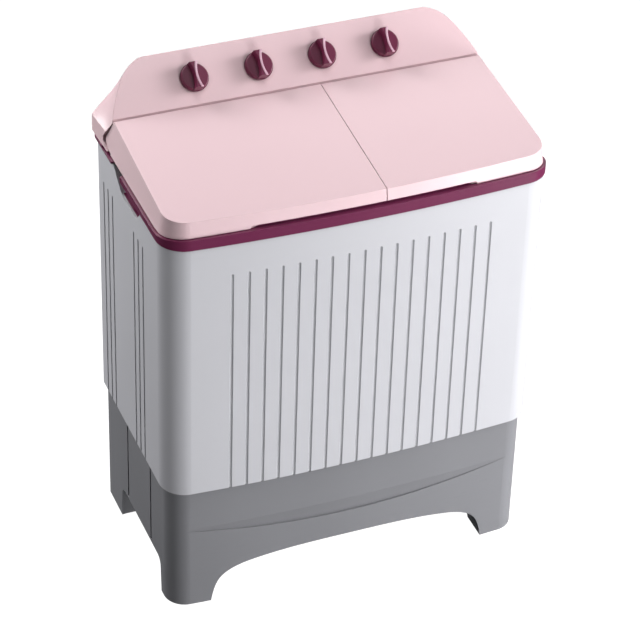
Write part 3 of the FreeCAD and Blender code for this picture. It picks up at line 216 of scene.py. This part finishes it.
def painted(name, colour, rough=0.4):
    """Enamel with a cloudy tone and small pale specks."""
    s = Shader(name).set(spec=0.5, coat=0.1, coat_rough=0.25)
    cloud = s.noise(18.0, 4.0)
    speck = s.ramp(s.cells(260.0), 0.0, 0.12, 1.0, 0.0)
    base = s.mix(s.ramp(cloud, 0.3, 0.7), tinted(colour, 0.85), tinted(colour, 1.2))
    s.colour(s.mix(s.ramp(speck, 0.4, 1.0, 0.0, 0.35), base, tinted(colour, 2.0)))
    s.rough(s.ramp(cloud, 0.3, 0.7, rough - 0.06, rough + 0.08))
    s.bump([(s.noise(420.0, 3.0), 0.1, 0.0003)], 0.0005)
    return s.mat


CABINET = (0.680, 0.680, 0.722, 1.0)
BASE = (0.272, 0.273, 0.293, 1.0)
MAROON = (0.184, 0.0254, 0.084, 1.0)
PINK = (0.915, 0.668, 0.710, 1.0)
KNOB = (0.165, 0.0196, 0.062, 1.0)
# pale pink of the knob lines: a pointer inlay colour that also serves as painted highlight on the grip bar's
# lit edge
LINE_AND_HIGHLIGHT = (0.74, 0.46, 0.57, 1.0)
MATERIALS = {
    "cabinet_white": moulded("cabinet_plastic", CABINET, 0.42, grain=0.05, vary=0.02, crevice_shade=0.75),
    "base_grey": moulded("base_plastic", BASE, 0.5, grain=0.12, vary=0.06, crevice_shade=0.5),
    "frame_maroon": moulded("frame_plastic", MAROON, 0.3, peel=0.05, vary=0.06, crevice_shade=0.05),
    "lid_pink": moulded("lid_plastic", PINK, 0.3, peel=0.03, grain=0.0, vary=0.012, edge=0.0012),
    "knob_maroon": moulded("knob_plastic", KNOB, 0.3, peel=0.04, vary=0.06),
    "tub_white": moulded("tub_plastic", srgb(226, 229, 232), 0.35, peel=0.05, vary=0.02),
    "pulsator_plastic": moulded("pulsator_plastic", srgb(190, 205, 222), 0.32, peel=0.05, vary=0.03),
    "cover_clear": moulded("safety_cover_plastic", srgb(214, 220, 226), 0.38, peel=0.04, vary=0.03),
    "rear_panel": moulded("rear_plastic", srgb(214, 215, 220), 0.52, grain=0.12, vary=0.03),
    "pipe_grey": moulded("pipe_plastic", srgb(150, 152, 156), 0.48, grain=0.06, vary=0.05),
    "timer_plastic": moulded("timer_plastic", srgb(222, 218, 204), 0.5, grain=0.06, vary=0.04),
    "crest_line": moulded("line_and_highlight_plastic", LINE_AND_HIGHLIGHT, 0.3, peel=0.04, grain=0.0, vary=0.02),
    "rubber_black": rubber("rubber", srgb(34, 34, 35)),
    "fastener_steel": metal("zinc_plate", srgb(198, 198, 192), 0.34, dull=0.12),
    "shaft_steel": metal("ground_steel", srgb(190, 190, 192), 0.24, streak=(1.0, 1.0, 60.0)),
    "rotor_steel": metal("turned_steel", srgb(160, 160, 164), 0.42, streak=(1.0, 1.0, 90.0)),
    "plated_steel": metal("plated_sheet", srgb(190, 188, 176), 0.38, streak=(3.0, 3.0, 3.0)),
    "pulley_alloy": metal("cast_alloy", srgb(196, 197, 200), 0.46, streak=(4.0, 4.0, 4.0)),
    "drum_iron": metal("cast_iron", srgb(110, 108, 106), 0.55, streak=(6.0, 6.0, 6.0), dull=0.25),
    "capacitor_can": metal("drawn_can", srgb(205, 206, 210), 0.3, streak=(30.0, 30.0, 1.0)),
    "motor_paint": painted("motor_enamel", srgb(62, 64, 68)),
}
for name, obj in nodes.items():
    obj.data.materials.clear()
    obj.data.materials.append(MATERIALS[slot_of[name]])


def new_piece(name, verts, faces, body, mat):
    """A smooth-shaded mesh piece that rides on a body and takes a slot's finish."""
    mesh = bpy.data.meshes.new(name)
    mesh.from_pydata([tuple(v) for v in verts], [], faces)
    mesh.validate()
    mesh.polygons.foreach_set("use_smooth", [True] * len(mesh.polygons))
    obj = bpy.data.objects.new(name, mesh)
    scene.collection.objects.link(obj)
    obj.data.materials.append(mat)
    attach(obj, body)


# ---------------------------------------------------------------- knob crest lines, also a painted highlight
FACE_OUT = Vector((0.0, -0.66913, 0.74314))    # straight out of the control face
FACE_UP = Vector((0.0, 0.74314, 0.66913))      # up the control face, along the bar
CREST = 0.0240             # crest of the grip bar over the control face
BAR_HALF = 0.0246          # half length of the crest
CREST_MIDDLE = 0.0026      # half width of the crest at its waist
SCOOP_R = 0.0640           # radius of the hollows in the bar's sides, at the crest
LINE_WIDTH = 0.0050        # width of the line at the bar's ends
WAIST, FLARE = 0.84, 0.16  # share of that width at the waist, and what it gains to the ends
LINE_PROUD = 0.00025       # how far the line stands out over the crest's edge
LINE_STEPS = 36
END_DIP = 0.0007           # how far the line sinks at its ends
END_START, END_SHARE = 0.94, 0.06
# the line's section: 0 at its inner to 1 at its outer edge, and height over the crest
LINE_SECTION = [
    (0.0, -0.0006), (0.0, 0.00015), (0.08, 0.00032), (0.4, 0.00040), (0.78, 0.00034),
    (0.92, 0.00006), (0.98, -0.0005), (1.0, -0.0012), (0.99, -0.0030), (0.80, -0.0032),
]
KNOB_JOINTS = [
    ("wash_timer_knob", "wash_timer_turn"),
    ("course_knob", "course_turn"),
    ("drain_knob", "drain_select_turn"),
    ("spin_timer_knob", "spin_timer_turn"),
]


def crest_half(s):
    """Half width of the crest at s along the bar."""
    return CREST_MIDDLE + SCOOP_R - math.sqrt(SCOOP_R * SCOOP_R - s * s)


def crest_line(name, joint, body):
    """A raised pale line inlaid along one edge of the grip bar, bowed with the bar's waist; on that lit edge
    it also stands in for a painted highlight.
    """
    base = Vector(joint["pos_m"])
    across = Vector((1.0, 0.0, 0.0))
    verts = []
    faces = []
    for i in range(LINE_STEPS + 1):
        t = i / LINE_STEPS
        s = -BAR_HALF + 2 * BAR_HALF * t
        edge = crest_half(s) + LINE_PROUD
        width = LINE_WIDTH * (WAIST + FLARE * abs(s) / BAR_HALF)
        dip = END_DIP * max(0.0, abs(s) / BAR_HALF - END_START) / END_SHARE
        for u, lift in LINE_SECTION:
            x = edge - width * (1.0 - u)
            verts.append(base + FACE_UP * s + across * x + FACE_OUT * (CREST + lift - dip))
    n = len(LINE_SECTION)
    for i in range(LINE_STEPS):
        for k in range(n):
            a = i * n + k
            b = i * n + (k + 1) % n
            faces.append((a, b, b + n, a + n))
    faces.append(tuple(range(n))[::-1])
    faces.append(tuple(LINE_STEPS * n + k for k in range(n)))
    new_piece(name, verts, faces, body, MATERIALS["crest_line"])


for knob_body, joint_name in KNOB_JOINTS:
    crest_line(knob_body + "_line", joints[joint_name], knob_body)


# ---------------------------------------------------------------- stage, light, camera
FLOOR_TONES = (0.15, 0.15, 0.15, 1.0), (0.16, 0.16, 0.16, 1.0)
FLOOR_GLOW = 1.05          # its own light, so that it stays near white
RING_POINTS = 48
# radius and height of the rings that the floor and its backdrop are made of
RINGS = [
    (3.0, 0.0), (9.0, 0.0), (12.0, 0.3), (14.0, 1.4),
    (15.0, 4.0), (15.0, 12.0), (9.0, 18.0), (0.5, 20.0),
]


def floor_material():
    s = Shader("studio_floor").set(rough=0.9, spec=0.1)
    s.colour(s.mix(s.ramp(s.noise(0.8, 3.0), 0.3, 0.7), *FLOOR_TONES))
    s.bsdf.inputs["Emission Color"].default_value = (1.0, 1.0, 1.0, 1.0)
    s.bsdf.inputs["Emission Strength"].default_value = FLOOR_GLOW
    return s.mat


def make_stage():
    """A floor that sweeps up far away into a pale backdrop all round."""
    verts = [(0.0, 0.0, 0.0)]
    faces = []
    for r, z in RINGS:
        for k in range(RING_POINTS):
            a = 2 * math.pi * k / RING_POINTS
            verts.append((r * math.cos(a), r * math.sin(a), z))
    for k in range(RING_POINTS):
        faces.append((0, 1 + k, 1 + (k + 1) % RING_POINTS))
    for i in range(len(RINGS) - 1):
        for k in range(RING_POINTS):
            a, b = 1 + i * RING_POINTS + k, 1 + i * RING_POINTS + (k + 1) % RING_POINTS
            faces.append((a, b, b + RING_POINTS, a + RING_POINTS))
    mesh = bpy.data.meshes.new("studio_floor")
    mesh.from_pydata(verts, [], faces)
    mesh.polygons.foreach_set("use_smooth", [True] * len(mesh.polygons))
    obj = bpy.data.objects.new("studio_floor", mesh)
    scene.collection.objects.link(obj)
    obj.data.materials.append(floor_material())
    # the camera sees it, but it neither lights nor shades the object
    obj.visible_diffuse = False
    obj.visible_glossy = False
    obj.visible_shadow = False


def area(name, place, aim, size, power):
    """A rectangular area lamp at place, facing aim."""
    light = bpy.data.lights.new(name, "AREA")
    light.shape = "RECTANGLE"
    light.size, light.size_y = size
    light.energy = power
    obj = bpy.data.objects.new(name, light)
    obj.location = place
    obj.rotation_mode = "QUATERNION"
    obj.rotation_quaternion = (Vector(aim) - Vector(place)).to_track_quat("-Z", "Y")
    scene.collection.objects.link(obj)


make_stage()
# name, place, the point it faces, its two sides, watts
LAMPS = [
    ("key", (6.0, -1.4, 2.8), (0.0, 0.0, 0.6), (2.4, 2.6), 365.0),
    ("key_low", (1.7, -2.2, 0.15), (0.1, 0.0, 0.4), (1.0, 0.6), 34.0),
    ("key_near", (2.6, -1.6, 1.0), (0.1, 0.0, 0.6), (1.0, 1.2), 20.0),
    ("front", (0.3, -3.2, 0.9), (0.0, 0.0, 0.5), (1.4, 1.4), 37.0),
    ("overhead", (0.2, -0.4, 3.6), (0.0, 0.0, 0.9), (2.2, 1.6), 20.0),
    ("back_left", (-1.5, 2.2, 2.5), (0.0, 0.0, 0.7), (1.4, 1.2), 64.0),
    ("back_right", (2.0, 2.2, 2.5), (0.0, 0.0, 0.8), (1.4, 1.2), 11.5),
    ("back_top", (0.4, 2.4, 2.9), (0.0, 0.0, 0.85), (2.4, 1.2), 8.6),
    ("left_low", (-2.2, 2.0, 0.6), (-0.3, 0.0, 0.4), (1.0, 1.2), 28.0),
    ("left", (-3.0, 0.2, 1.0), (-0.3, 0.0, 0.5), (1.0, 1.4), 6.5),
]
for lamp in LAMPS:
    area(*lamp)

world = bpy.data.worlds.new("studio_world")
world.use_nodes = True
background = next(n for n in world.node_tree.nodes if n.type == "BACKGROUND")
background.inputs["Color"].default_value = (0.93, 0.96, 1.0, 1.0)
background.inputs["Strength"].default_value = 0.02
scene.world = world
scene.view_settings.view_transform = "Standard"
scene.view_settings.look = "None"

# the camera, as fitted to the object's corners in the photo
AZ, EL, ROLL = math.radians(-22.74), math.radians(36.249), math.radians(1.909)
DISTANCE = 5.2648
AIM = Vector((0.0, 0.0, 0.45))
AIM_RIGHT, AIM_UP = 0.0056, 0.0119             # the frame's centre from AIM, in the image plane
FOCAL_PX, FRAME_PX, SENSOR_MM = 2766.6, 640.0, 36.0
back = Vector((math.sin(AZ) * math.cos(EL), -math.cos(AZ) * math.cos(EL), math.sin(EL)))
flat_right = Vector((0, 0, 1)).cross(back).normalized()
flat_up = back.cross(flat_right)
right = flat_right * math.cos(ROLL) + flat_up * math.sin(ROLL)
up = flat_up * math.cos(ROLL) - flat_right * math.sin(ROLL)
camera = bpy.data.objects.new("camera", bpy.data.cameras.new("camera"))
camera.data.sensor_width = SENSOR_MM
camera.data.lens = FOCAL_PX * SENSOR_MM / FRAME_PX
target = AIM + right * AIM_RIGHT + up * AIM_UP
camera.rotation_mode = "QUATERNION"
camera.rotation_quaternion = Matrix((right, up, back)).transposed().to_quaternion()
camera.location = target + back * DISTANCE
camera.data.clip_end = 100.0
scene.collection.objects.link(camera)
scene.camera = camera
